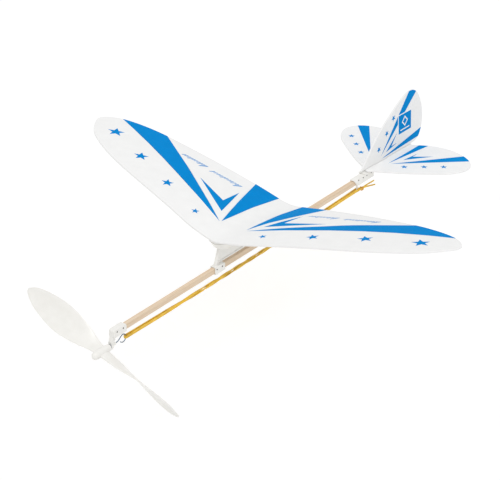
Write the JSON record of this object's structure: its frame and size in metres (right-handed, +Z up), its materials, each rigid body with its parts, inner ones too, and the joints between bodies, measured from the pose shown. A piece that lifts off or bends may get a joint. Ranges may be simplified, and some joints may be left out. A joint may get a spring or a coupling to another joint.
{
  "type": "rubber-band powered model plane",
  "caption": "Rubber-band powered model plane: bent foam wing and foam tail on a wooden motor stick, with a moulded propeller, wire hook and rubber loop.",
  "frame": {"origin": "at the centre of the flat underside of the wing fitting's front clip, on the plane of symmetry, just ahead of the balance point", "axes": "-Y towards the nose, +Z up, +X to port (the pilot's left when facing the nose)"},
  "size_m": [0.434, 0.522, 0.1184],
  "materials": {
    "stick_wood": "bare sanded strip",
    "foam_sheet": "satin foam skin with one blue print colour",
    "moulded_plastic": "moulded, slightly translucent white",
    "steel_wire": "drawn wire",
    "rubber": "plain amber rubber strip"
  },
  "bodies": {
    "airframe": {"motor_stick": "stick_wood", "nose_bearing": "moulded_plastic", "tail_clip": "moulded_plastic", "stabiliser": "foam_sheet", "fin": "foam_sheet", "rubber_band": "rubber"},
    "propeller_assembly": {"propeller": "moulded_plastic", "prop_shaft": "steel_wire", "thrust_washer": "steel_wire"},
    "wing_assembly": {"wing": "foam_sheet", "wing_mount": "moulded_plastic"}
  },
  "joints": [
    {"name": "propeller_spin", "type": "hinge", "parent": "airframe", "child": "propeller_assembly", "pos_m": [0, -0.137, -0.0075], "axis": [0, 0.9998, 0.0175], "continuous": true, "deforming": ["rubber_band"]},
    {"name": "wing_trim_slide", "type": "slide", "parent": "airframe", "child": "wing_assembly", "axis": [0, 1, 0], "range_m": [-0.12, 0.1]}
  ]
}
